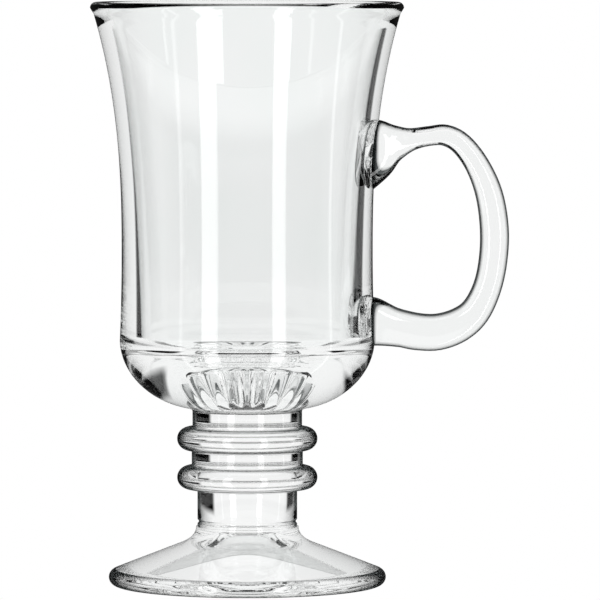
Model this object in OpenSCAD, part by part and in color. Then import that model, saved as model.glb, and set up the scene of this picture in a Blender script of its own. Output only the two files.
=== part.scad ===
/* [Bowl] */
// Outside diameter of the lip
rim_d = 79.4; // [77:0.2:82]
// Outside diameter where the bowl is narrowest
waist_d = 63.6; // [61:0.2:66]
// Outside diameter just above the rounded bottom
belly_d = 64.6; // [64:0.2:68]
// Height of the bowl from the neck to the rim
bowl_h = 103; // [96:0.2:112]
// Height of the narrowest ring above the neck
waist_up = 40.1; // [36:0.1:44]
// Height of the rounded bottom of the bowl
belly_up = 17.3; // [15:0.1:19]
// Diameter of the flat middle of the bowl's underside
under_flat_d = 24.6; // [20:0.2:26]
// Thickness of the wall in its upper half
wall_t = 3.4; // [3:0.1:4.4]
// Thickness of the wall where it meets the floor
wall_base_t = 5.5; // [4.8:0.1:6.2]
// Height over which the wall thins out
wall_thinning_h = 52; // [40:1:60]
// Thickness of the rounded lip
lip_t = 3; // [2.6:0.1:3.4]
// Thickness of the solid glass under the drink, beside the well
floor_t = 14.5; // [13.5:0.1:15.5]
// How far the floor rises from the well to the wall
floor_rise = 0.8; // [0.4:0.1:1.2]
// Inside radius between the wall and the floor
corner_r = 3.5; // [3:0.1:5]

/* [Fluted well] */
// Diameter of the well where its flutes begin
well_d = 24.4; // [22:0.2:27]
// Depth of the fluted side of the well below the floor of the bowl
well_depth = 4.9; // [4:0.1:5.5]
// Width of the rounded shoulder above the flutes
well_shoulder_w = 1.5; // [1:0.1:2]
// Height of the rounded shoulder above the flutes
well_shoulder_h = 1; // [0.6:0.1:1.4]
// Diameter of the bottom of the well
well_bottom_d = 17; // [15:0.2:19]
// How far the middle of the well is above the foot of its flutes
well_rise = 0.5; // [0.2:0.1:0.8]
// Number of flutes around the well
flute_count = 16; // [12:1:20]
// Depth of the flutes in the side of the well
flute_depth = 1.75; // [1:0.05:2.2]

/* [Stem] */
// Diameter of the neck under the bowl
neck_d = 27.8; // [26.5:0.1:29]
// Height of the neck
neck_h = 4.8; // [4:0.1:6]
// Diameter of each ring
ring_d = 35.6; // [34:0.1:38]
// Thickness of each ring
ring_t = 5.75; // [5:0.05:6.5]
// Diameter of the collar between the rings
collar_d = 28.2; // [26.5:0.1:29]
// Height of the collar between the rings
collar_h = 4.1; // [3:0.1:6]
// Diameter of the shank below the rings
shank_d = 25.3; // [24:0.1:25.8]
// Height of the shank
shank_h = 9.6; // [8:0.1:14]
// Radius of the soft corner beside each ring
ring_fillet_r = 0.5; // [0.3:0.05:0.7]

/* [Foot] */
// Diameter of the foot
foot_d = 70.4; // [66:0.2:76]
// Height of the foot
foot_h = 14.9; // [14:0.1:16.5]
// Diameter of the top of the foot, where the shank stands
foot_top_d = 26; // [26:0.1:27]
// Thickness of the rounded edge of the foot
foot_edge_t = 4.1; // [3.6:0.1:4.6]
// Diameter where the slope of the foot turns up to the shank
foot_turn_d = 35; // [33:0.5:38]
// Height of the foot where its slope turns up
foot_turn_h = 10.4; // [10:0.1:11]
// Width of the flat ring that the mug stands on, around the hollow under the foot
rest_ring_w = 3.95; // [3:0.05:5]
// Height of the hollow under the foot
hollow_h = 13.3; // [12.4:0.1:13.5]
// Diameter of the round end of the hollow, under the shank
hollow_end_d = 10.8; // [9:0.2:12]
// Height of the round end of the hollow
hollow_end_h = 1.2; // [1:0.1:1.6]
// Diameter where the slope of the hollow turns up to its round end
hollow_turn_d = 22; // [20:0.5:24]
// Height of the hollow where its slope turns up
hollow_turn_h = 7.5; // [7:0.1:7.8]

/* [Handle] */
// Distance from the axis of the mug to the outer side of the grip
handle_reach = 66.4; // [63:0.1:70]
// Height of the top of the handle above the neck
handle_top_up = 72.1; // [68:0.1:76]
// Height of the underside of the handle above the neck
handle_low_up = 14.9; // [13:0.1:17]
// Width of the handle across the grip
handle_w = 12.4; // [10:0.1:14]
// Thickness of the handle at the grip
grip_t = 7.3; // [6.4:0.1:8]
// Height of the middle of the upper seal above the neck
upper_seal_up = 63.6; // [60:0.1:66]
// Height of the upper seal against the bowl
upper_seal_h = 20.7; // [18:0.1:22]
// Height of the upper seal where it is clear of the bowl
upper_clear_h = 15.6; // [14:0.1:17]
// How far it has risen there
upper_clear_up = 1.6; // [1:0.1:2]
// Width of the upper seal against the bowl
upper_seal_w = 16; // [14:0.1:18]
// How far the upper seal stands proud of the bowl
upper_seal_t = 1.6; // [1:0.1:2]
// Height of the middle of the lower seal above the neck
lower_seal_up = 22; // [20:0.1:24]
// Height of the lower seal against the bowl
lower_seal_h = 12.6; // [11:0.1:14]
// Height of the lower seal where it is clear of the bowl
lower_clear_h = 12; // [10.5:0.1:13.5]
// Width of the lower seal against the bowl
lower_seal_w = 15; // [13.5:0.1:17]
// How far the lower seal stands proud of the bowl
lower_seal_t = 0.9; // [0.6:0.1:1.4]

/* [Hidden] */
$fn = 96;

// How clear glass looks, as red, green, blue and opacity
clear_glass = [0.93, 0.96, 0.96, 0.45];

// One overrun for every cut
cut_over = 1;

// Heights, from the table up
shank_z = foot_h;
lower_ring_z = shank_z + shank_h;
collar_z = lower_ring_z + ring_t;
upper_ring_z = collar_z + collar_h;
neck_z = upper_ring_z + ring_t;
bowl_z = neck_z + neck_h;
belly_z = bowl_z + belly_up;
waist_z = bowl_z + waist_up;
rim_z = bowl_z + bowl_h;
floor_z = bowl_z + floor_t;

rim_r = rim_d / 2;
waist_r = waist_d / 2;
belly_r = belly_d / 2;
lip_r = lip_t / 2;

// The flare of the bowl grows with this power of the height above the waist
flare_power = 2.5;
// A power under two draws the rounded bottom of the bowl in from an ellipse
bottom_power = 1.92;
// The wall thins out with this power of the height left
thinning_power = 1.5;

function arc_points(centre, radius, from, to, steps) = [
    for (i = [0:steps])
        let (a = from + (to - from) * i / steps)
        centre + radius * [cos(a), sin(a)]
];

// Outside radius of the bowl at a height above its rounded bottom
function outside_r(z) =
    z > waist_z
    ? waist_r + (rim_r - waist_r) * pow((z - waist_z) / (rim_z - waist_z), flare_power)
    : waist_r + (belly_r - waist_r) * pow((waist_z - z) / (waist_z - belly_z), 2);

// Thickness of the wall at a height above the floor
function wall_at(z) =
    wall_t + (wall_base_t - wall_t)
    * pow(max(0, 1 - (z - floor_z) / wall_thinning_h), thinning_power);

function inside_r(z) = outside_r(z) - wall_at(z);

// The rounded bottom is nearly a quarter of an ellipse that starts at the flat middle,
// and the neck is sealed to a flat face as wide as itself
bottom_steps = 18;
bottom_outline = concat(
    [[neck_d / 2, bowl_z]],
    [
        for (i = [1:bottom_steps])
            let (
                a = 90 * i / bottom_steps,
                r = under_flat_d / 2
                    + (belly_r - under_flat_d / 2) * pow(sin(a), 2 / bottom_power)
            )
            if (r > neck_d / 2) [r, belly_z - belly_up * pow(cos(a), 2 / bottom_power)]
    ]
);

lip_centre = [rim_r - lip_r, rim_z - lip_r];
corner_top_z = floor_z + floor_rise + corner_r;
wall_steps = 22;
lip_steps = 11;
corner_steps = 8;

wall_outline = [
    for (i = [1:wall_steps])
        let (z = belly_z + (lip_centre[1] - lip_r - belly_z) * i / wall_steps)
        [outside_r(z), z]
];

lip_outline = arc_points(lip_centre, lip_r, 0, 165, lip_steps);

// The inside wall meets the lip a little below it
inside_top_z = lip_centre[1] - lip_t;
inside_outline = [
    for (i = [0:wall_steps])
        let (z = inside_top_z + (corner_top_z - inside_top_z) * i / wall_steps)
        [inside_r(z), z]
];

corner_centre = [inside_r(corner_top_z) - corner_r, corner_top_z];
corner_outline = arc_points(corner_centre, corner_r, 0, -90, corner_steps);

// The floor falls from the corner in a smooth wave, to a flat border around the well
well_mouth_r = well_d / 2 + well_shoulder_w;
well_border_w = 0.5;
border_r = well_mouth_r + well_border_w;
floor_steps = 8;
floor_outline = [
    for (i = [1:floor_steps])
        let (t = 1 - i / floor_steps)
        [
            border_r + (corner_centre[0] - border_r) * t,
            floor_z + floor_rise * t * t * (3 - 2 * t)
        ]
];

// The solid form of the bowl, as if it were full
module bowl_form() {
    rotate_extrude()
        polygon(concat(
            [[0, bowl_z]],
            bottom_outline,
            wall_outline,
            [[0, wall_outline[wall_steps - 1][1]]]
        ));
}

// Steps around one flute
flute_steps = 6;
// A power under one makes the flutes wide and the ridges between them narrow
flute_power = 0.7;

well_z = floor_z - well_depth;
well_top_z = floor_z - well_shoulder_h;
well_bottom_r = well_bottom_d / 2;
well_sides = flute_count * flute_steps;
shoulder_steps = 4;
side_steps = 3;
bottom_rings = 4;

// Outline of the shoulder, from the floor down
shoulder_outline = [
    for (i = [0:shoulder_steps - 1])
        let (a = 90 * i / shoulder_steps)
        [
            well_mouth_r - well_shoulder_w * sin(a),
            floor_z - well_shoulder_h * (1 - cos(a))
        ]
];

// The cutter goes on above the floor at the slope of the shoulder's first step
shoulder_start = shoulder_outline[0] - shoulder_outline[1];
well_cut_r = well_mouth_r + cut_over * shoulder_start[0] / shoulder_start[1];

// Every level of the well has its mean radius, its height and the depth of its flutes,
// which fade out over the outer third of the bottom
well_levels = concat(
    [[well_cut_r, floor_z + cut_over, 0]],
    [for (i = [1:shoulder_steps - 1]) [shoulder_outline[i][0], shoulder_outline[i][1], 0]],
    [
        for (i = [0:side_steps])
            let (t = i / side_steps)
            [
                well_d / 2 + (well_bottom_r - well_d / 2) * t,
                well_top_z + (well_z - well_top_z) * t,
                flute_depth
            ]
    ],
    [
        for (i = [1:bottom_rings - 1])
            let (t = 1 - i / bottom_rings)
            [
                well_bottom_r * t,
                well_z + well_rise * (1 - t * t),
                flute_depth * max(0, 3 * t - 2)
            ]
    ]
);

function well_ring(level) = [
    for (j = [0:well_sides - 1])
        let (
            a = 360 * j / well_sides,
            r = level[0] - level[2] * (1 - pow((1 + cos(flute_count * a)) / 2, flute_power))
        )
        [r * cos(a), r * sin(a), level[1]]
];

// A closed skin over rings of points, each with the same number of points
function skin_faces(rings, sides) = concat(
    [
        for (k = [0:rings - 2])
            for (j = [0:sides - 1])
                let (
                    n = (j + 1) % sides,
                    a = k * sides + j,
                    b = k * sides + n
                )
                each [
                    [a, b + sides, a + sides],
                    [a, b, b + sides]
                ]
    ],
    [for (j = [1:sides - 2]) [0, j + 1, j]],
    [
        let (last = (rings - 1) * sides)
        for (j = [1:sides - 2]) [last, last + j, last + j + 1]
    ]
);

module well() {
    polyhedron(
        [for (level = well_levels) for (p = well_ring(level)) p],
        skin_faces(len(well_levels), well_sides)
    );
}

module bowl() {
    color(clear_glass)
        difference() {
            rotate_extrude()
                polygon(concat(
                    [[0, bowl_z]],
                    bottom_outline,
                    wall_outline,
                    lip_outline,
                    inside_outline,
                    corner_outline,
                    floor_outline,
                    [[0, floor_z]]
                ));
            well();
        }
}

// Half of a ring's outline, a half round that stands on a soft corner
ring_steps = 14;
ring_r = ring_t / 2;

function ring_outline(z) = arc_points(
    [ring_d / 2 - ring_r, z + ring_r], ring_r, -90, 90, ring_steps
);

// A soft corner between a cylinder and the side of a ring. side is 1 above the ring
fillet_steps = 4;

function soft_corner(d, z, side) =
    let (
        centre = [d / 2 + ring_fillet_r, z + side * ring_fillet_r],
        points = arc_points(centre, ring_fillet_r, 180, 180 + side * 90, fillet_steps)
    )
    side > 0 ? [for (i = [fillet_steps:-1:0]) points[i]] : points;

module stem() {
    color(clear_glass)
        rotate_extrude()
            polygon(concat(
                [[0, shank_z], [shank_d / 2, shank_z]],
                soft_corner(shank_d, lower_ring_z, -1),
                ring_outline(lower_ring_z),
                soft_corner(collar_d, collar_z, 1),
                soft_corner(collar_d, upper_ring_z, -1),
                ring_outline(upper_ring_z),
                soft_corner(neck_d, neck_z, 1),
                [[neck_d / 2, bowl_z], [0, bowl_z]]
            ));
}

// The slope of the foot turns up to the shank in one curve
edge_r = foot_edge_t / 2;
edge_centre = [foot_d / 2 - edge_r, edge_r];
foot_slope = atan2(foot_turn_h - foot_edge_t, (foot_d - foot_turn_d) / 2);
edge_steps = 10;
turn_steps = 10;

// Where the line of the slope would meet the side of the shank
turn_corner = [
    foot_top_d / 2,
    foot_turn_h + (foot_turn_d - foot_top_d) / 2 * tan(foot_slope)
];

function bend(a, b, c, t) = (1 - t) * (1 - t) * a + 2 * t * (1 - t) * b + t * t * c;

turn_outline = [
    for (i = [0:turn_steps])
        bend([foot_turn_d / 2, foot_turn_h], turn_corner, [foot_top_d / 2, foot_h], i / turn_steps)
];

// The hollow under the foot follows the slope above it, and turns up under the shank to
// a round end. These are shares of the radius of that end, and of the way to it
hollow_r = edge_centre[0] - rest_ring_w;
hollow_flat_share = 0.28;
hollow_round_share = 0.85;
hollow_corner_share = 0.6;
hollow_end_r = hollow_end_d / 2;
hollow_turn = [hollow_turn_d / 2, hollow_turn_h];
hollow_end = [hollow_end_r, hollow_h - hollow_end_h];
hollow_steps = 6;

// Where the slope of the hollow would reach if it went on
hollow_reach = (hollow_turn[0] - hollow_end_r) * hollow_corner_share;
hollow_corner = hollow_turn
    + hollow_reach * [-1, hollow_turn_h / (hollow_r - hollow_turn[0])];

hollow_outline = concat(
    [[0, hollow_h]],
    [
        for (i = [0:hollow_steps])
            bend(
                [hollow_end_r * hollow_flat_share, hollow_h],
                [hollow_end_r * hollow_round_share, hollow_h],
                hollow_end,
                i / hollow_steps
            )
    ],
    [
        for (i = [1:hollow_steps])
            bend(hollow_end, hollow_corner, hollow_turn, i / hollow_steps)
    ],
    [[hollow_r, 0]]
);

module foot() {
    color(clear_glass)
        rotate_extrude()
            polygon(concat(
                hollow_outline,
                arc_points(edge_centre, edge_r, -90, 90 - foot_slope, edge_steps),
                turn_outline,
                [[0, foot_h]]
            ));
}

// Stations along the middle of the handle, between its two seals. Each has its place
// out from the waist, its place up from the underside, its thickness against the grip
// and its width against the width of the handle
handle_station_shares = [
    [0.139, 0.893, 1.66, 1.14],
    [0.208, 0.917, 1.11, 1.05],
    [0.295, 0.934, 0.76, 0.98],
    [0.420, 0.948, 0.68, 0.95],
    [0.535, 0.950, 0.74, 0.96],
    [0.650, 0.911, 0.79, 0.98],
    [0.765, 0.818, 0.85, 0.99],
    [0.852, 0.690, 0.95, 1.00],
    [0.890, 0.540, 1.00, 1.00],
    [0.882, 0.400, 0.99, 1.00],
    [0.838, 0.275, 0.99, 1.00],
    [0.752, 0.170, 1.06, 1.00],
    [0.632, 0.110, 1.18, 1.00],
    [0.480, 0.079, 1.26, 1.00],
    [0.330, 0.080, 1.28, 1.02],
    [0.190, 0.098, 1.34, 1.08]
];
station_steps = 2;
bar_sides = 20;

handle_low_z = bowl_z + handle_low_up;
handle_h = handle_top_up - handle_low_up;
handle_out = handle_reach - waist_r;

// Each seal starts inside the wall, which then cuts it, and is a little narrower where
// it is clear of the bowl
clear_w_share = 0.96;

// The two stations of a seal, from inside the wall out
function seal_stations(up, height, width, proud, clear_h, clear_up) =
    let (z = bowl_z + up, r = outside_r(z))
    [
        [r - wall_t, z, height / 2, width / 2],
        [r + proud, z + clear_up, clear_h / 2, width / 2 * clear_w_share]
    ];

upper_seal = seal_stations(
    upper_seal_up, upper_seal_h, upper_seal_w, upper_seal_t, upper_clear_h, upper_clear_up
);
lower_seal = seal_stations(
    lower_seal_up, lower_seal_h, lower_seal_w, lower_seal_t, lower_clear_h, 0
);

stations = concat(
    upper_seal,
    [
        for (s = handle_station_shares)
            [
                waist_r + handle_out * s[0],
                handle_low_z + handle_h * s[1],
                grip_t / 2 * s[2],
                handle_w / 2 * s[3]
            ]
    ],
    [lower_seal[1], lower_seal[0]]
);
station_count = len(stations);

// A smooth curve through all stations
function through(a, b, c, d, t) =
    (2 * b + (c - a) * t + (2 * a - 5 * b + 4 * c - d) * t * t
    + (3 * b - a - 3 * c + d) * t * t * t) / 2;

function station(i) = stations[max(0, min(station_count - 1, i))];

bar_rings = (station_count - 1) * station_steps;
bar_line = [
    for (k = [0:bar_rings])
        let (
            i = min(floor(k / station_steps), station_count - 2),
            t = k / station_steps - i
        )
        through(station(i - 1), station(i), station(i + 1), station(i + 2), t)
];

// Sections stand upright near the seals and square to the handle beyond them. These
// are shares of the way out from the waist
upright_share = 0.2;
square_share = 0.32;

function bar_heading(k) =
    let (
        a = bar_line[max(0, k - 1)],
        b = bar_line[min(bar_rings, k + 1)],
        along = [b[0] - a[0], b[1] - a[1]],
        out_share = (bar_line[k][0] - waist_r) / handle_out,
        part = (out_share - upright_share) / (square_share - upright_share),
        square = max(0, min(1, part)),
        mixed = square * along / norm(along) + (1 - square) * [sign(along[0]), 0]
    )
    mixed / norm(mixed);

// The section of the handle is an oval, and a power over two flattens its sides
section_power = 3;

function section_r(a) =
    pow(pow(abs(cos(a)), section_power) + pow(abs(sin(a)), section_power), -1 / section_power);

function bar_ring(k) =
    let (
        p = bar_line[k],
        h = bar_heading(k)
    )
    [
        for (j = [0:bar_sides - 1])
            let (
                a = 360 * j / bar_sides,
                across = p[2] * section_r(a) * cos(a),
                wide = p[3] * section_r(a) * sin(a)
            )
            [p[0] - h[1] * across, wide, p[1] + h[0] * across]
    ];

module handle_bar() {
    polyhedron(
        [for (k = [0:bar_rings]) for (p = bar_ring(k)) p],
        skin_faces(bar_rings + 1, bar_sides)
    );
}

module handle() {
    color(clear_glass)
        difference() {
            handle_bar();
            bowl_form();
        }
}

bowl();
stem();
foot();
handle();
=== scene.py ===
# Irish coffee glass mug: smooth glass pieces fitted to the frame, and a pale studio.
import math
import bmesh
import bpy
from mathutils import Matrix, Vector


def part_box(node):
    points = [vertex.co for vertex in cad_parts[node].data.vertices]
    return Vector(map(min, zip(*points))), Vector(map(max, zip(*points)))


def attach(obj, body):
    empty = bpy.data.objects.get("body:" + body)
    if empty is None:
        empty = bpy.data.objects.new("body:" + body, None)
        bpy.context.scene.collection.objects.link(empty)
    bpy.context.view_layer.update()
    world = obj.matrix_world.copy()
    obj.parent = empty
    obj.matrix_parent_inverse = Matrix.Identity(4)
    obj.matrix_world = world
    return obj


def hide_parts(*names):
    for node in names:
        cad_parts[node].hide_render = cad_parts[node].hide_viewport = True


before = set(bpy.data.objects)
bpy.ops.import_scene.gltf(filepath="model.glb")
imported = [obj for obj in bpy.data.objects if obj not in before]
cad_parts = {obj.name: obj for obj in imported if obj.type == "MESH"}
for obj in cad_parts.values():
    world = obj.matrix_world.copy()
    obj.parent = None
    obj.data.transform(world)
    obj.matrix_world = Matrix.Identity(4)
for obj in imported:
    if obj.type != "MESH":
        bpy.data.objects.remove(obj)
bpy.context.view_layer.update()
mm = 0.001  # everything below is in metres
near = 0.01 * mm  # a point this close to a place counts as there
veryNear = 0.001 * mm
mergeGap = 0.0005 * mm  # vertices closer than this are merged
flatEnough = 0.99  # upright part of a level face's normal
smoothAngle = math.radians(38)
seamSlot = 1
print("frame loaded:", sorted(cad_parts))


# Small helpers for working in edit mode

def clearSelection():
    if bpy.context.object and bpy.context.object.mode != "OBJECT":
        bpy.ops.object.mode_set(mode="OBJECT")
    bpy.ops.object.select_all(action="DESELECT")


def pickPiece(piece):
    clearSelection()
    piece.select_set(True)
    bpy.context.view_layer.objects.active = piece


def pickVertices(piece, wanted):
    # selects the vertices whose place passes the test, and nothing else
    work = bmesh.from_edit_mesh(piece.data)
    for vertex in work.verts:
        vertex.select = wanted(vertex.co)
    work.select_flush_mode()
    bmesh.update_edit_mesh(piece.data, loop_triangles=False)


def pickIndices(piece, indices):
    work = bmesh.from_edit_mesh(piece.data)
    chosen = set(indices)
    for vertex in work.verts:
        vertex.select = vertex.index in chosen
    work.select_flush_mode()
    bmesh.update_edit_mesh(piece.data, loop_triangles=False)


def dressSeam(piece, wanted):
    # gives the seam's material to the faces that pass the test
    pickPiece(piece)
    bpy.ops.object.mode_set(mode="EDIT")
    bpy.ops.mesh.select_mode(type="FACE")
    work = bmesh.from_edit_mesh(piece.data)
    for face in work.faces:
        face.select = wanted(face.calc_center_median(), face.normal)
    bmesh.update_edit_mesh(piece.data, loop_triangles=False)
    piece.active_material_index = seamSlot
    bpy.ops.object.material_slot_assign()
    bpy.ops.mesh.select_mode(type="VERT")
    bpy.ops.object.mode_set(mode="OBJECT")


def arcPoints(centre, radius, start, end, steps):
    points = []
    for i in range(steps + 1):
        angle = math.radians(start + (end - start) * i / steps)
        points.append((centre[0] + radius * math.cos(angle), centre[1] + radius * math.sin(angle)))
    return points


def drawOutline(name, outline):
    # a plane merged to one point, which is then extruded along half of the section
    clearSelection()
    bpy.ops.mesh.primitive_plane_add(size=mm)
    piece = bpy.context.object
    piece.name = name
    piece.data.name = name
    bpy.ops.object.mode_set(mode="EDIT")
    bpy.ops.mesh.select_mode(type="VERT")
    bpy.ops.mesh.select_all(action="SELECT")
    bpy.ops.mesh.merge(type="CENTER")
    bpy.ops.transform.translate(value=(outline[0][0], 0, outline[0][1]))
    for before, after in zip(outline, outline[1:]):
        step = (after[0] - before[0], 0, after[1] - before[1])
        bpy.ops.mesh.extrude_vertices_move(TRANSFORM_OT_translate={"value": step})
    return piece


def turnOutline(steps, angle=2 * math.pi):
    bpy.ops.mesh.select_all(action="SELECT")
    bpy.ops.mesh.spin(steps=steps, angle=angle, center=(0, 0, 0), axis=(0, 0, 1))


def closeSkin():
    # merges what meets, then points every face outwards
    bpy.ops.mesh.select_all(action="SELECT")
    bpy.ops.mesh.remove_doubles(threshold=mergeGap)
    bpy.ops.mesh.normals_make_consistent(inside=False)
    bpy.ops.object.mode_set(mode="OBJECT")


def smoothPiece(piece):
    pickPiece(piece)
    bpy.ops.object.shade_smooth_by_angle(angle=smoothAngle)


def cutPiece(piece, cutter):
    # takes the cutter away, and the cut faces keep the cutter's slot number
    pickPiece(piece)
    cut = piece.modifiers.new("cut", "BOOLEAN")
    cut.operation = "DIFFERENCE"
    cut.solver = "EXACT"
    cut.object = cutter
    bpy.ops.object.modifier_apply(modifier=cut.name)


def copyPiece(piece, name):
    pickPiece(piece)
    bpy.ops.object.duplicate(linked=False)
    copy = bpy.context.object
    copy.name = name
    return copy


def removePiece(piece):
    pickPiece(piece)
    bpy.ops.object.delete()


# Small helpers for node trees

def feedSocket(tree, value, socket):
    if isinstance(value, (int, float, tuple)):
        socket.default_value = value
    elif value is not None:
        tree.links.new(value, socket)


def addMath(tree, operation, first, second=None):
    node = tree.nodes.new("ShaderNodeMath")
    node.operation = operation
    feedSocket(tree, first, node.inputs[0])
    feedSocket(tree, second, node.inputs[1])
    return node.outputs[0]


def addBetween(tree, value, least, greatest):
    # 1 where the value lies between the two others, and 0 elsewhere
    above = addMath(tree, "GREATER_THAN", value, least)
    return addMath(tree, "MULTIPLY", above, addMath(tree, "LESS_THAN", value, greatest))


def addMix(tree, share, first, second):
    node = tree.nodes.new("ShaderNodeMix")
    for place, value in ((0, share), (2, first), (3, second)):
        feedSocket(tree, value, node.inputs[place])
    return node.outputs[0]


def addColorMix(tree, share, first, second):
    node = tree.nodes.new("ShaderNodeMix")
    node.data_type = "RGBA"
    for place, value in ((0, share), (6, first), (7, second)):
        feedSocket(tree, value, node.inputs[place])
    return node.outputs[2]


def addRange(tree, value, low, high, first=0.0, last=1.0):
    node = tree.nodes.new("ShaderNodeMapRange")
    for place, given in enumerate((value, low, high, first, last)):
        feedSocket(tree, given, node.inputs[place])
    return node.outputs[0]


def addRamp(tree, share, stops):
    node = tree.nodes.new("ShaderNodeValToRGB")
    tree.links.new(share, node.inputs[0])
    elements = node.color_ramp.elements
    elements.remove(elements[1])
    elements[0].position = stops[0][0]
    elements[0].color = (stops[0][1],) * 3 + (1,)
    for place, value in stops[1:]:
        elements.new(place).color = (value,) * 3 + (1,)
    return node.outputs["Color"]


def addNoise(tree, place, scale, detail):
    node = tree.nodes.new("ShaderNodeTexNoise")
    feedSocket(tree, place, node.inputs["Vector"])
    feedSocket(tree, scale, node.inputs["Scale"])
    feedSocket(tree, detail, node.inputs["Detail"])
    return node.outputs["Fac"]


# Materials

glassLook = {
    "clear": (0.985, 0.992, 0.99, 1),
    "cloudy": (0.968, 0.984, 0.979, 1),
    # painted shade: the near-black colour that edges and seal creases are darkened towards
    "edge": (0.01, 0.012, 0.012, 1),
    "refraction": 1.52,
    # painted shade: how far the glass turns from the eye where its colour starts to be darkened,
    # and where it is dark
    "paintedShadeFacing": (0.33, 0.7),
    "wellPaintedShadeFacing": (0.12, 0.45),
    # the bowl's outer radius at two heights, and how far out from it the painted shade of a seal's
    # crease fades
    "sealShadeHeights": (95 * mm, 118 * mm),
    "sealShadeRadii": (32.3 * mm, 33.35 * mm),
    "sealShadeFade": (0.3 * mm, 1.0 * mm),
    # scale and detail of each noise, and the values between which it comes in
    "cloudNoise": (38.0, 3.0),
    "cloudRange": (0.4, 0.7),
    "smudgeNoise": (95.0, 4.0),
    "smudgeRange": (0.55, 0.8),
    "smudgeRoughness": 0.02,
    "rippleNoise": (70.0, 1.0),
    "rippleStretch": (1, 1, 0.3),
    "rippleHeight": 0.012 * mm,
    "stippleScale": 900.0,
    "stippleHeight": 0.07 * mm,
    "stippleTop": 0.3 * mm,
}
# the least and greatest radius and height of the places that get painted shade on their edges in
# each piece:
# the flutes, the whole stem, the rim of the foot and the whole handle
paintedShadeZones = {
    "bowl": (0.0, 13.9 * mm, 55.6 * mm, 60.4 * mm),
    "stem": (0.0, 1.0, 0.0, 1.0),
    "foot": (33.4 * mm, 1.0, -1.0, 5 * mm),
    "handle": (0.0, 1.0, 0.0, 1.0),
}


def makeFinish(look):
    # faint clouds, smudges and ripples, and the masks where painted shade darkens edges and seal
    # creases
    tree = bpy.data.node_groups.new("glassFinish", "ShaderNodeTree")
    for name in ("Least Radius", "Greatest Radius", "Least Height", "Greatest Height"):
        tree.interface.new_socket(name=name, in_out="INPUT", socket_type="NodeSocketFloat")
    tree.interface.new_socket(name="Tint", in_out="OUTPUT", socket_type="NodeSocketColor")
    for name in ("Roughness", "Ripple", "Painted Edge Shade", "Seal"):
        tree.interface.new_socket(name=name, in_out="OUTPUT", socket_type="NodeSocketFloat")
    given = tree.nodes.new("NodeGroupInput")
    result = tree.nodes.new("NodeGroupOutput")
    place = tree.nodes.new("ShaderNodeTexCoord").outputs["Object"]
    split = tree.nodes.new("ShaderNodeSeparateXYZ")
    tree.links.new(place, split.inputs[0])
    flat = tree.nodes.new("ShaderNodeCombineXYZ")
    tree.links.new(split.outputs["X"], flat.inputs["X"])
    tree.links.new(split.outputs["Y"], flat.inputs["Y"])
    length = tree.nodes.new("ShaderNodeVectorMath")
    length.operation = "LENGTH"
    tree.links.new(flat.outputs[0], length.inputs[0])
    radius, height = length.outputs["Value"], split.outputs["Z"]
    least, greatest = given.outputs["Least Radius"], given.outputs["Greatest Radius"]
    across = addBetween(tree, radius, least, greatest)
    least, greatest = given.outputs["Least Height"], given.outputs["Greatest Height"]
    along = addBetween(tree, height, least, greatest)
    # painted shade: the crease of each seal, close to the outer form of the bowl, is darkened
    reach = addRange(tree, height, *look["sealShadeHeights"], *look["sealShadeRadii"])
    seal = addRange(tree, addMath(tree, "SUBTRACT", radius, reach), *look["sealShadeFade"], 1.0, 0.0)
    cloud = addNoise(tree, place, *look["cloudNoise"])
    cloud = addRange(tree, cloud, *look["cloudRange"])
    smudge = addNoise(tree, place, *look["smudgeNoise"])
    drawn = tree.nodes.new("ShaderNodeMapping")
    drawn.inputs["Scale"].default_value = look["rippleStretch"]
    tree.links.new(place, drawn.inputs["Vector"])
    found = {
        "Tint": addColorMix(tree, cloud, look["clear"], look["cloudy"]),
        "Roughness": addRange(tree, smudge, *look["smudgeRange"], 0.0, look["smudgeRoughness"]),
        "Ripple": addNoise(tree, drawn.outputs[0], *look["rippleNoise"]),
        "Painted Edge Shade": addMath(tree, "MULTIPLY", across, along),
        "Seal": seal,
    }
    for name, value in found.items():
        tree.links.new(value, result.inputs[name])
    return tree


def addStipple(tree, look):
    # fine pits on the ring that the foot stands on
    place = tree.nodes.new("ShaderNodeTexCoord").outputs["Object"]
    split = tree.nodes.new("ShaderNodeSeparateXYZ")
    tree.links.new(place, split.inputs[0])
    pits = tree.nodes.new("ShaderNodeTexVoronoi")
    tree.links.new(place, pits.inputs["Vector"])
    pits.inputs["Scale"].default_value = look["stippleScale"]
    low = addMath(tree, "LESS_THAN", split.outputs["Z"], look["stippleTop"])
    return addMath(tree, "MULTIPLY", pits.outputs["Distance"], low)


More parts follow.
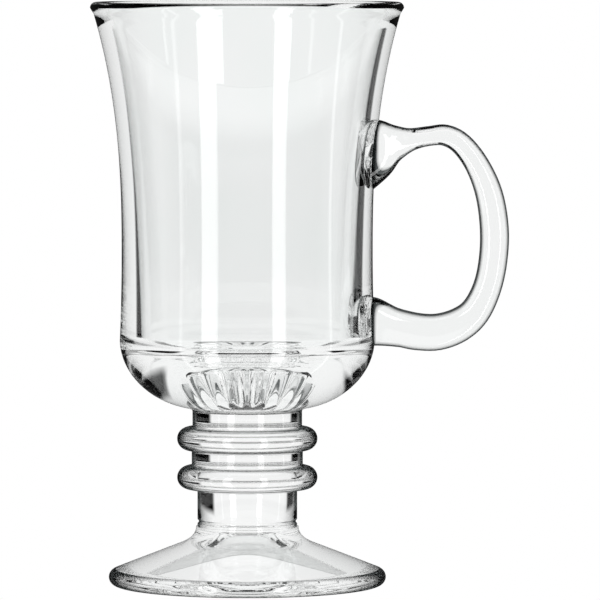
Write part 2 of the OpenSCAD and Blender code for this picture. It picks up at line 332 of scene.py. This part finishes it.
def makeGlass(node, look):
    material = bpy.data.materials.new(node + "Glass")
    material.use_nodes = True
    tree = material.node_tree
    shader = tree.nodes["Principled BSDF"]
    shader.inputs["IOR"].default_value = look["refraction"]
    shader.inputs["Transmission Weight"].default_value = 1
    finish = tree.nodes.new("ShaderNodeGroup")
    finish.node_tree = glassFinish
    for socket, value in zip(finish.inputs, paintedShadeZones[node]):
        socket.default_value = value
    # painted shade: the colour is darkened where the glass turns from the eye, standing in for the
    # dark outlines that refracted dark surroundings give
    turned = tree.nodes.new("ShaderNodeLayerWeight").outputs["Facing"]
    facing = look["wellPaintedShadeFacing"] if node == "bowl" else look["paintedShadeFacing"]
    edge = addMath(tree, "MULTIPLY", finish.outputs["Painted Edge Shade"], addRange(tree, turned, *facing))
    if node == "handle":
        # painted shade: the handle is also darkened at the creases of its seals
        edge = addMath(tree, "MAXIMUM", edge, finish.outputs["Seal"])
    tintWithPaintedShade = addColorMix(tree, edge, finish.outputs["Tint"], look["edge"])
    tree.links.new(tintWithPaintedShade, shader.inputs["Base Color"])
    tree.links.new(finish.outputs["Roughness"], shader.inputs["Roughness"])
    bump = tree.nodes.new("ShaderNodeBump")
    bump.inputs["Distance"].default_value = look["rippleHeight"]
    height = finish.outputs["Ripple"]
    if node == "foot":
        pits = addStipple(tree, look)
        depth = look["stippleHeight"] / look["rippleHeight"]
        height = addMath(tree, "ADD", height, addMath(tree, "MULTIPLY", pits, depth))
    tree.links.new(height, bump.inputs["Height"])
    tree.links.new(bump.outputs["Normal"], shader.inputs["Normal"])
    return material


def makeSeam():
    # where two pieces are fused there is no surface left to see
    material = bpy.data.materials.new("fusedSeam")
    material.use_nodes = True
    shader = material.node_tree.nodes["Principled BSDF"]
    shader.inputs["Alpha"].default_value = 0
    return material


glassFinish = makeFinish(glassLook)
glasses = {node: makeGlass(node, glassLook) for node in paintedShadeZones}
fusedSeam = makeSeam()
print("materials ready")


def dressPiece(piece, node):
    piece.data.materials.clear()
    piece.data.materials.append(glasses[node])
    piece.data.materials.append(fusedSeam)


def fitPiece(piece, node):
    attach(piece, "root")
    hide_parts(node)


# Bowl

bowlLow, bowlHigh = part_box("bowl")
bowlSizes = {
    "waistRadius": 31.8 * mm,
    "bellyRadius": 32.3 * mm,
    "waistUp": 40.1 * mm,
    "bellyUp": 17.3 * mm,
    "underFlatRadius": 12.3 * mm,
    "seatRadius": 14.7 * mm,
    "seatGap": 0.1 * mm,  # from the seat's edge to the first point of the curve
    "wall": 3.4 * mm,
    "wallBase": 5.5 * mm,
    "wallThinning": 52 * mm,
    "lip": 3.0 * mm,
    "floor": 14.5 * mm,
    "floorRise": 0.8 * mm,
    "corner": 3.5 * mm,
    "flarePower": 2.5,
    "bottomPower": 1.92,
    "thinningPower": 1.5,
    # degrees that the lip is rounded through, from its outer side
    "lipTurn": 165,
    # steps of each stretch of the outline
    "bottomSteps": 40,
    "wallSteps": 56,
    "lipSteps": 22,
    "insideSteps": 50,
    "cornerSteps": 18,
    "floorSteps": 24,
}
wellSizes = {
    "radius": 12.2 * mm,
    "depth": 4.9 * mm,
    "shoulderWidth": 1.5 * mm,
    "shoulderHeight": 1.0 * mm,
    "border": 0.5 * mm,
    "bottomRadius": 8.5 * mm,
    "rise": 0.5 * mm,
    "flutes": 16,
    "fluteDepth": 1.75 * mm,
    "flutePower": 0.7,
    "stepsPerFlute": 18,
    "levelSteps": 12,
}
turnSteps = wellSizes["flutes"] * wellSizes["stepsPerFlute"]
rimRadius = bowlHigh.x
rimZ = bowlHigh.z
bowlZ = bowlLow.z
waistZ = bowlZ + bowlSizes["waistUp"]
bellyZ = bowlZ + bowlSizes["bellyUp"]
floorZ = bowlZ + bowlSizes["floor"]
wellZ = floorZ - wellSizes["depth"]


def outsideRadius(z):
    waist = bowlSizes["waistRadius"]
    if z > waistZ:
        share = (z - waistZ) / (rimZ - waistZ)
        return waist + (rimRadius - waist) * share ** bowlSizes["flarePower"]
    share = (waistZ - z) / (waistZ - bellyZ)
    return waist + (bowlSizes["bellyRadius"] - waist) * share ** 2


def insideRadius(z):
    left = max(0, 1 - (z - floorZ) / bowlSizes["wallThinning"])
    extra = (bowlSizes["wallBase"] - bowlSizes["wall"]) * left ** bowlSizes["thinningPower"]
    return outsideRadius(z) - bowlSizes["wall"] - extra


lipRadius = bowlSizes["lip"] / 2
lipCentre = (rimRadius - lipRadius, rimZ - lipRadius)


def wallLine(radiusAt, low, high, steps):
    # points on a wall whose radius is given at every height
    heights = [low + (high - low) * i / steps for i in range(steps + 1)]
    return [(radiusAt(z), z) for z in heights]


def wellLevels():
    # radius, height and strength of the flutes at every level of the well, from the floor down
    levels = []
    radius, bottom = wellSizes["radius"], wellSizes["bottomRadius"]
    shoulder, steps = wellSizes["shoulderHeight"], wellSizes["levelSteps"]
    for i in range(steps):
        angle = math.radians(90 * i / steps)
        width = radius + wellSizes["shoulderWidth"] * (1 - math.sin(angle))
        levels.append((width, floorZ - shoulder * (1 - math.cos(angle)), 0))
    for i in range(steps + 1):
        share = i / steps
        z = wellZ + (wellSizes["depth"] - shoulder) * (1 - share)
        levels.append((radius + (bottom - radius) * share, z, 1))
    # on the bottom the flutes fade out over the outer third
    for i in range(1, steps):
        share = 1 - i / steps
        z = wellZ + wellSizes["rise"] * (1 - share ** 2)
        levels.append((bottom * share, z, max(0, 3 * share - 2)))
    return levels


def bowlOutline():
    # from the middle of the underside, up the outside, over the lip and down to the well
    under = [(0, bowlZ), (bowlSizes["seatRadius"], bowlZ)]
    power = 2 / bowlSizes["bottomPower"]
    reach = bowlSizes["bellyRadius"] - bowlSizes["underFlatRadius"]
    for i in range(1, bowlSizes["bottomSteps"] + 1):
        angle = math.radians(90 * i / bowlSizes["bottomSteps"])
        radius = bowlSizes["underFlatRadius"] + reach * math.sin(angle) ** power
        if radius > bowlSizes["seatRadius"] + bowlSizes["seatGap"]:
            under.append((radius, bellyZ - bowlSizes["bellyUp"] * abs(math.cos(angle)) ** power))
    wall = wallLine(outsideRadius, bellyZ, lipCentre[1] - lipRadius, bowlSizes["wallSteps"])[1:]
    lip = arcPoints(lipCentre, lipRadius, 0, bowlSizes["lipTurn"], bowlSizes["lipSteps"])
    top = lipCentre[1] - bowlSizes["lip"]
    cornerTop = floorZ + bowlSizes["floorRise"] + bowlSizes["corner"]
    inside = wallLine(insideRadius, top, cornerTop, bowlSizes["insideSteps"])
    centre = (insideRadius(cornerTop) - bowlSizes["corner"], cornerTop)
    corner = arcPoints(centre, bowlSizes["corner"], 0, -90, bowlSizes["cornerSteps"])[1:]
    border = wellSizes["radius"] + wellSizes["shoulderWidth"] + wellSizes["border"]
    floor = []
    for i in range(1, bowlSizes["floorSteps"] + 1):
        share = 1 - i / bowlSizes["floorSteps"]
        rise = bowlSizes["floorRise"] * share ** 2 * (3 - 2 * share)
        floor.append((border + (centre[0] - border) * share, floorZ + rise))
    well = [(radius, z) for radius, z, strength in wellLevels()]
    return under + wall + lip + inside + corner + floor + well + [(0, wellZ + wellSizes["rise"])]


def shapeFlutes(piece):
    # the first sixteenth of the bowl is pushed in between its two ends, level by level
    pitch = 2 * math.pi / wellSizes["flutes"]
    for radius, z, strength in wellLevels():
        if strength == 0:
            continue
        for step in range(1, wellSizes["stepsPerFlute"]):
            angle = pitch * step / wellSizes["stepsPerFlute"]
            wave = ((1 + math.cos(angle * wellSizes["flutes"])) / 2) ** wellSizes["flutePower"]
            drawn = wellSizes["fluteDepth"] * strength * (1 - wave)
            place = Vector((radius * math.cos(angle), radius * math.sin(angle), z))
            pickVertices(piece, lambda co: (Vector((co.x, abs(co.y), co.z)) - place).length < near)
            share = 1 - drawn / radius
            bpy.ops.transform.resize(value=(share, share, 1), center_override=(0, 0, z))


def buildBowl():
    piece = drawOutline("glassBowl", bowlOutline())
    turnOutline(wellSizes["stepsPerFlute"], 2 * math.pi / wellSizes["flutes"])
    shapeFlutes(piece)
    bpy.ops.mesh.select_all(action="SELECT")
    bpy.ops.mesh.spin(
        steps=wellSizes["flutes"], dupli=True, angle=2 * math.pi, center=(0, 0, 0), axis=(0, 0, 1)
    )
    closeSkin()
    dressPiece(piece, "bowl")
    dressSeam(piece, lambda middle, normal: middle.z < bowlZ + near)
    return piece


bowl = buildBowl()
print("bowl:", len(bowl.data.polygons), "faces")


# Stem

stemLow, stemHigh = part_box("stem")
stemSizes = {
    "neckRadius": 13.9 * mm,
    "neckHeight": 4.8 * mm,
    "ringRadius": 17.8 * mm,
    "ringHeight": 5.75 * mm,
    "collarRadius": 14.1 * mm,
    "collarHeight": 4.1 * mm,
    "shankRadius": 12.65 * mm,
    "softCorner": 0.5 * mm,
    "neckFillet": 0.8 * mm,
    # a faint crease above the foot: how far up it starts and ends, and its depth
    "crease": (0.7 * mm, 1.9 * mm, 0.35 * mm),
    "creasePower": 1.2,
    "creaseSteps": 14,
    "ringSteps": 40,
    "cornerSteps": 8,
    "filletSteps": 12,
}
upperRingZ = stemHigh.z - stemSizes["neckHeight"] - stemSizes["ringHeight"]
lowerRingZ = upperRingZ - stemSizes["collarHeight"] - stemSizes["ringHeight"]


def softCorner(radius, z, side):
    # the small hollow round where a ring meets the stem below it (-1) or above it (1)
    soft = stemSizes["softCorner"]
    centre = (radius + soft, z + side * soft)
    points = arcPoints(centre, soft, 180, 180 + side * 90, stemSizes["cornerSteps"])
    return points[::-1] if side > 0 else points


def ringOutline(z):
    half = stemSizes["ringHeight"] / 2
    centre = (stemSizes["ringRadius"] - half, z + half)
    return arcPoints(centre, half, -90, 90, stemSizes["ringSteps"])


def shankOutline():
    radius, steps = stemSizes["shankRadius"], stemSizes["creaseSteps"]
    low, high, depth = stemSizes["crease"]
    points = [(0, stemLow.z), (radius, stemLow.z)]
    for i in range(steps + 1):
        dent = depth * math.sin(math.pi * i / steps) ** stemSizes["creasePower"]
        points.append((radius - dent, stemLow.z + low + (high - low) * i / steps))
    return points


def stemOutline():
    fillet, neck = stemSizes["neckFillet"], stemSizes["neckRadius"]
    return (
        shankOutline()
        + softCorner(stemSizes["shankRadius"], lowerRingZ, -1)
        + ringOutline(lowerRingZ)
        + softCorner(stemSizes["collarRadius"], lowerRingZ + stemSizes["ringHeight"], 1)
        + softCorner(stemSizes["collarRadius"], upperRingZ, -1)
        + ringOutline(upperRingZ)
        + softCorner(neck, upperRingZ + stemSizes["ringHeight"], 1)
        + arcPoints((neck + fillet, stemHigh.z - fillet), fillet, 180, 90, stemSizes["filletSteps"])
        + [(0, stemHigh.z)]
    )


def buildStem():
    piece = drawOutline("glassStem", stemOutline())
    turnOutline(turnSteps)
    closeSkin()
    dressPiece(piece, "stem")
    dressSeam(piece, lambda middle, normal: abs(normal.z) > flatEnough and (
        middle.z < stemLow.z + near or middle.z > stemHigh.z - veryNear))
    return piece


stem = buildStem()
print("stem:", len(stem.data.polygons), "faces")


# Foot

footLow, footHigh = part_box("foot")
footSizes = {
    "topRadius": 13.0 * mm,
    "edge": 4.1 * mm,
    "turnRadius": 17.5 * mm,
    "turnUp": 10.4 * mm,
    "restWidth": 3.95 * mm,
    "hollowHeight": 13.3 * mm,
    "hollowEnd": (5.4 * mm, 12.1 * mm),
    "hollowTurn": (11.0 * mm, 7.5 * mm),
    # shares of the radius of the hollow's round end, and of the way out to its slope
    "endFlat": 0.28,
    "endRound": 0.85,
    "turnShare": 0.6,
    "hollowSteps": 20,
    "slopeSteps": 12,
    "edgeSteps": 24,
    "bendSteps": 24,
}
footRadius = footHigh.x


def bendPoints(start, corner, end, steps):
    # a smooth bend from start to end, drawn towards the corner
    points = []
    for i in range(steps + 1):
        t = i / steps
        weights = ((1 - t) ** 2, 2 * t * (1 - t), t ** 2)
        points.append(tuple(
            sum(weight * value for weight, value in zip(weights, values))
            for values in zip(start, corner, end)
        ))
    return points


def hollowOutline(rim):
    high = footSizes["hollowHeight"]
    end, turn = footSizes["hollowEnd"], footSizes["hollowTurn"]
    flat, swell = end[0] * footSizes["endFlat"], end[0] * footSizes["endRound"]
    reach = (turn[0] - end[0]) * footSizes["turnShare"]
    corner = (turn[0] - reach, turn[1] + reach * turn[1] / (rim - turn[0]))
    shares = [i / footSizes["slopeSteps"] for i in range(1, footSizes["slopeSteps"] + 1)]
    return (
        [(0, high)]
        + bendPoints((flat, high), (swell, high), end, footSizes["hollowSteps"])
        + bendPoints(end, corner, turn, footSizes["hollowSteps"])[1:]
        + [(turn[0] + (rim - turn[0]) * share, turn[1] * (1 - share)) for share in shares]
    )


def footOutline():
    edge = footSizes["edge"] / 2
    centre = (footRadius - edge, footLow.z + edge)
    rise = footSizes["turnUp"] - footSizes["edge"]
    slope = math.atan2(rise, footRadius - footSizes["turnRadius"])
    across = footSizes["turnRadius"] - footSizes["topRadius"]
    turn = (footSizes["turnRadius"], footSizes["turnUp"])
    corner = (footSizes["topRadius"], footSizes["turnUp"] + across * math.tan(slope))
    return (
        hollowOutline(centre[0] - footSizes["restWidth"])
        + arcPoints(centre, edge, -90, 90 - math.degrees(slope), footSizes["edgeSteps"])
        + bendPoints(turn, corner, (footSizes["topRadius"], footHigh.z), footSizes["bendSteps"])
        + [(stemSizes["shankRadius"], footHigh.z), (0, footHigh.z)]
    )


def buildFoot():
    piece = drawOutline("glassFoot", footOutline())
    turnOutline(turnSteps)
    closeSkin()
    dressPiece(piece, "foot")
    dressSeam(piece, lambda middle, normal: normal.z > flatEnough
              and middle.z > footHigh.z - near and middle.xy.length < stemSizes["shankRadius"])
    return piece


foot = buildFoot()
print("foot:", len(foot.data.polygons), "faces")


# Handle

handleSizes = {
    "reach": 66.4 * mm,
    "topUp": 72.1 * mm,
    "lowUp": 14.9 * mm,
    "width": 12.4 * mm,
    "grip": 7.3 * mm,
    # place up, height and width at the bowl, then how far out the seal is clear of the
    # bowl, its height there and how far it has risen
    "upperSeal": (63.6 * mm, 20.7 * mm, 16 * mm, 1.6 * mm, 15.6 * mm, 1.6 * mm),
    "lowerSeal": (22 * mm, 12.6 * mm, 15 * mm, 0.9 * mm, 12 * mm, 0),
    "clearWidth": 0.96,
    "sectionPower": 3,
    "uprightShare": 0.2,
    "squareShare": 0.32,
    # how deep the handle's foot is set into the bowl, and where the cutting drum starts
    "sealDepth": 0.02 * mm,
    "drumDown": 8 * mm,
    "stepsPerStation": 5,
    "sides": 56,
    # place out from the waist, place up, thickness against the grip, width against the width
    "stations": [
        (0.139, 0.893, 1.66, 1.14), (0.208, 0.917, 1.11, 1.05), (0.295, 0.934, 0.76, 0.98),
        (0.420, 0.948, 0.68, 0.95), (0.535, 0.950, 0.74, 0.96), (0.650, 0.911, 0.79, 0.98),
        (0.765, 0.818, 0.85, 0.99), (0.852, 0.690, 0.95, 1.00), (0.890, 0.540, 1.00, 1.00),
        (0.882, 0.400, 0.99, 1.00), (0.838, 0.275, 0.99, 1.00), (0.752, 0.170, 1.06, 1.00),
        (0.632, 0.110, 1.18, 1.00), (0.480, 0.079, 1.26, 1.00), (0.330, 0.080, 1.28, 1.02),
        (0.190, 0.098, 1.34, 1.08),
    ],
}
handleOut = handleSizes["reach"] - bowlSizes["waistRadius"]


def sealStations(seal):
    up, high, wide, proud, clearHigh, risen = seal
    z = bowlZ + up
    return [
        (outsideRadius(z) - bowlSizes["wall"], z, high / 2, wide / 2),
        (outsideRadius(z) + proud, z + risen, clearHigh / 2, wide / 2 * handleSizes["clearWidth"]),
    ]


def handleLine():
    # every section of the bar as place out, place up, half its thickness, half its width
    low = bowlZ + handleSizes["lowUp"]
    high = handleSizes["topUp"] - handleSizes["lowUp"]
    stations = sealStations(handleSizes["upperSeal"])
    for out, up, thick, wide in handleSizes["stations"]:
        stations.append((
            bowlSizes["waistRadius"] + handleOut * out,
            low + high * up,
            handleSizes["grip"] / 2 * thick,
            handleSizes["width"] / 2 * wide,
        ))
    stations += sealStations(handleSizes["lowerSeal"])[::-1]
    stations = [Vector(station) for station in stations]
    steps = handleSizes["stepsPerStation"]
    last = len(stations) - 1
    line = []
    for k in range(last * steps + 1):
        i = min(k // steps, last - 1)
        t = k / steps - i
        a, b, c, d = (stations[max(0, min(last, i + j))] for j in (-1, 0, 1, 2))
        line.append((2 * b + (c - a) * t + (2 * a - 5 * b + 4 * c - d) * t ** 2
                     + (3 * b - a - 3 * c + d) * t ** 3) / 2)
    return line


def sectionTurn(line, k):
    # sections stand upright near the seals and square to the bar beyond them
    before, after = line[max(0, k - 1)], line[min(len(line) - 1, k + 1)]
    along = Vector((after[0] - before[0], after[1] - before[1])).normalized()
    share = (line[k][0] - bowlSizes["waistRadius"]) / handleOut
    span = handleSizes["squareShare"] - handleSizes["uprightShare"]
    square = max(0, min(1, (share - handleSizes["uprightShare"]) / span))
    flat = Vector((math.copysign(1, along.x), 0))
    mixed = square * along + (1 - square) * flat
    return math.atan2(mixed.y, mixed.x)


def buildHandle():
    line = handleLine()
    spacing = mm
    clearSelection()
    bpy.ops.mesh.primitive_circle_add(
        vertices=handleSizes["sides"], radius=mm, fill_type="NGON", rotation=(0, math.pi / 2, 0)
    )
    bpy.ops.object.transform_apply(location=True, rotation=True, scale=True)
    piece = bpy.context.object
    piece.name = "glassHandle"
    piece.data.name = "glassHandle"
    bpy.ops.object.mode_set(mode="EDIT")
    bpy.ops.mesh.select_mode(type="VERT")
    bpy.ops.mesh.select_all(action="SELECT")
    # the round section is drawn out towards its four corners
    power = handleSizes["sectionPower"]
    for step in range(1, handleSizes["sides"] // 4):
        angle = 2 * math.pi * step / handleSizes["sides"]
        along, up = math.cos(angle), math.sin(angle)
        swell = (along ** power + up ** power) ** (-1 / power)
        pickVertices(piece, lambda co: abs(abs(co.y) - along * mm) < veryNear
                     and abs(abs(co.z) - up * mm) < veryNear)
        bpy.ops.transform.resize(value=(1, swell, swell), center_override=(0, 0, 0))
    bpy.ops.mesh.select_all(action="SELECT")
    thick, wide = line[0][2], line[0][3]
    bpy.ops.transform.resize(value=(1, wide / mm, thick / mm), center_override=(0, 0, 0))
    for k in range(1, len(line)):
        bpy.ops.mesh.extrude_region_move(TRANSFORM_OT_translate={"value": (spacing, 0, 0)})
        value = (1, line[k][3] / wide, line[k][2] / thick)
        bpy.ops.transform.resize(value=value, center_override=(spacing * k, 0, 0))
        thick, wide = line[k][2], line[k][3]
    bpy.ops.mesh.select_all(action="SELECT")
    bpy.ops.mesh.normals_make_consistent(inside=False)
    # the straight bar is bent ring by ring
    work = bmesh.from_edit_mesh(piece.data)
    work.verts.ensure_lookup_table()
    rings = [[] for k in line]
    for vertex in work.verts:
        rings[round(vertex.co.x / spacing)].append(vertex.index)
    for k, ring in enumerate(rings):
        pickIndices(piece, ring)
        place = (spacing * k, 0, 0)
        bpy.ops.transform.rotate(value=sectionTurn(line, k), orient_axis="Y", center_override=place)
        bpy.ops.transform.translate(value=(line[k][0] - spacing * k, 0, line[k][1]))
    bpy.ops.object.mode_set(mode="OBJECT")
    return piece


def seamAll(piece):
    dressPiece(piece, "handle")
    dressSeam(piece, lambda middle, normal: True)


def buildDrum(name, inset):
    # the outer form of the bowl beside the handle, to cut the seals with
    low, high = bellyZ - handleSizes["drumDown"], lipCentre[1] - lipRadius
    wall = [
        (radius - inset, z) for radius, z in bowlOutline()[2:]
        if low < z < high and radius > insideRadius(z) + mm
    ]
    piece = drawOutline(name, [(0, wall[0][1])] + wall + [(0, wall[-1][1])])
    turnOutline(turnSteps)
    closeSkin()
    seamAll(piece)
    return piece


handle = buildHandle()
print("handle bar:", len(handle.data.polygons), "faces")
drum = buildDrum("drum", 0)
shallowDrum = buildDrum("shallowDrum", handleSizes["sealDepth"])
footprint = copyPiece(handle, "footprint")
seamAll(footprint)
dressPiece(handle, "handle")
# the handle ends at the bowl's outer form, and its footprint is let into the bowl
cutPiece(handle, drum)
cutPiece(footprint, shallowDrum)
cutPiece(bowl, footprint)
for helper in (drum, shallowDrum, footprint):
    removePiece(helper)
print("handle:", len(handle.data.polygons), "faces, bowl:", len(bowl.data.polygons), "faces")

for piece, node in ((bowl, "bowl"), (stem, "stem"), (foot, "foot"), (handle, "handle")):
    smoothPiece(piece)
    fitPiece(piece, node)


# Studio

studio = {
    "floorRadius": 3.0,
    "floorSides": 128,
    "floorColor": (1, 1, 1, 1),
    # the walls as the glass refracts them: a white one ahead, then a black screen on each
    # side, a grey gap and a dark room. Each stop is an angle from straight ahead and a
    # brightness, to the left and to the right
    "leftWalls": [
        (0, 1), (41, 1), (44, 0), (57, 0), (60, 0.45), (91, 0.45), (95, 0), (180, 0),
    ],
    "rightWalls": [
        (0, 1), (30, 1), (33, 0), (60, 0), (63, 0.45), (91, 0.45), (95, 0), (180, 0),
    ],
    # the screens stand between these heights in degrees, with white below and above them
    "screenHeights": [(-90, 0), (-14, 0), (-12, 1), (8, 1), (12, 0), (90, 0)],
    # brightness of all the walls, and of the lamps, at each height in degrees
    "wallHeights": [(-90, 0.98), (46, 0.98), (50, 0), (90, 0)],
    "lampHeights": [(-90, 0), (-30, 1), (40, 1), (44, 0), (90, 0)],
    # the lamps, as the glass mirrors them: angle from straight ahead and brightness
    "leftLamps": [
        (0, 0.02), (116, 0.02), (117, 2), (119, 2), (120, 0.02),
        (138, 0.02), (139, 4.5), (153, 4.5), (154, 0.02), (180, 0.02),
    ],
    "rightLamps": [
        (0, 0.02), (96, 0.02), (97, 2), (99, 2), (100, 0.02),
        (144, 0.02), (145, 4.5), (156, 4.5), (157, 0.02), (180, 0.02),
    ],
}


def aroundStops(left, right):
    # angles from straight ahead as shares of a turn, from behind by the left to behind
    stops = [(0.5 - angle / 360, value) for angle, value in left[::-1]]
    return stops + [(0.5 + angle / 360, value) for angle, value in right[1:]]


def heightStops(heights):
    return [(0.5 + angle / 180, value) for angle, value in heights]


def buildWorld():
    world = bpy.data.worlds.new("studio")
    bpy.context.scene.world = world
    world.use_nodes = True
    tree = world.node_tree
    place = tree.nodes.new("ShaderNodeTexCoord")
    split = tree.nodes.new("ShaderNodeSeparateXYZ")
    tree.links.new(place.outputs["Generated"], split.inputs[0])
    # the angle round the mug and the height, each as a share from 0 to 1
    around = addMath(tree, "ARCTAN2", split.outputs["X"], split.outputs["Y"])
    around = addMath(tree, "ADD", addMath(tree, "DIVIDE", around, 2 * math.pi), 0.5)
    height = addMath(tree, "ARCSINE", split.outputs["Z"])
    height = addMath(tree, "ADD", addMath(tree, "DIVIDE", height, math.pi), 0.5)
    walls = addRamp(tree, around, aroundStops(studio["leftWalls"], studio["rightWalls"]))
    screened = addRamp(tree, height, heightStops(studio["screenHeights"]))
    walls = addMix(tree, screened, 1.0, walls)
    level = addRamp(tree, height, heightStops(studio["wallHeights"]))
    walls = addMath(tree, "MULTIPLY", walls, level)
    lamps = addRamp(tree, around, aroundStops(studio["leftLamps"], studio["rightLamps"]))
    level = addRamp(tree, height, heightStops(studio["lampHeights"]))
    lamps = addMath(tree, "MULTIPLY", lamps, level)
    # reflected rays see the lamps, refracted ones the walls, and the camera a white sweep
    rays = tree.nodes.new("ShaderNodeLightPath")
    light = addMix(tree, rays.outputs["Is Reflection Ray"], walls, lamps)
    light = addMix(tree, rays.outputs["Is Camera Ray"], light, 1.0)
    tree.links.new(light, tree.nodes["Background"].inputs["Color"])


def buildFloor():
    clearSelection()
    bpy.ops.mesh.primitive_circle_add(
        vertices=studio["floorSides"], radius=studio["floorRadius"], fill_type="NGON"
    )
    floor = bpy.context.object
    floor.name = "floor"
    material = bpy.data.materials.new("paleFloor")
    material.use_nodes = True
    shader = material.node_tree.nodes["Principled BSDF"]
    shader.inputs["Base Color"].default_value = (0, 0, 0, 1)
    shader.inputs["Specular IOR Level"].default_value = 0
    shader.inputs["Emission Color"].default_value = studio["floorColor"]
    shader.inputs["Emission Strength"].default_value = 1
    floor.data.materials.append(material)
    # the glass gets the floor's light from the walls, by direction
    floor.visible_transmission = False
    floor.visible_glossy = False


cameraSizes = {
    "distance": 1.6,
    "height": 0.1665,
    "aim": (0.01338, 0, 0.0724),
    "halfFrame": 0.07605,
    "sensor": 36,
    "nearest": 0.05,
}
lightBounces = {"whole": 32, "mirrored": 16}


def buildCamera():
    data = bpy.data.cameras.new("camera")
    camera = bpy.data.objects.new("camera", data)
    bpy.context.scene.collection.objects.link(camera)
    aim = Vector(cameraSizes["aim"])
    camera.location = (aim.x, -cameraSizes["distance"], cameraSizes["height"])
    look = aim - camera.location
    camera.rotation_mode = "QUATERNION"
    camera.rotation_quaternion = look.to_track_quat("-Z", "Y")
    data.sensor_width = cameraSizes["sensor"]
    data.lens = cameraSizes["sensor"] / 2 / (cameraSizes["halfFrame"] / look.length)
    data.clip_start = cameraSizes["nearest"]
    bpy.context.scene.camera = camera


buildWorld()
buildFloor()
buildCamera()
scene = bpy.context.scene
scene.cycles.max_bounces = lightBounces["whole"]
scene.cycles.transmission_bounces = lightBounces["whole"]
scene.cycles.transparent_max_bounces = lightBounces["whole"]
scene.cycles.glossy_bounces = lightBounces["mirrored"]
scene.view_settings.view_transform = "Standard"
print("studio ready")
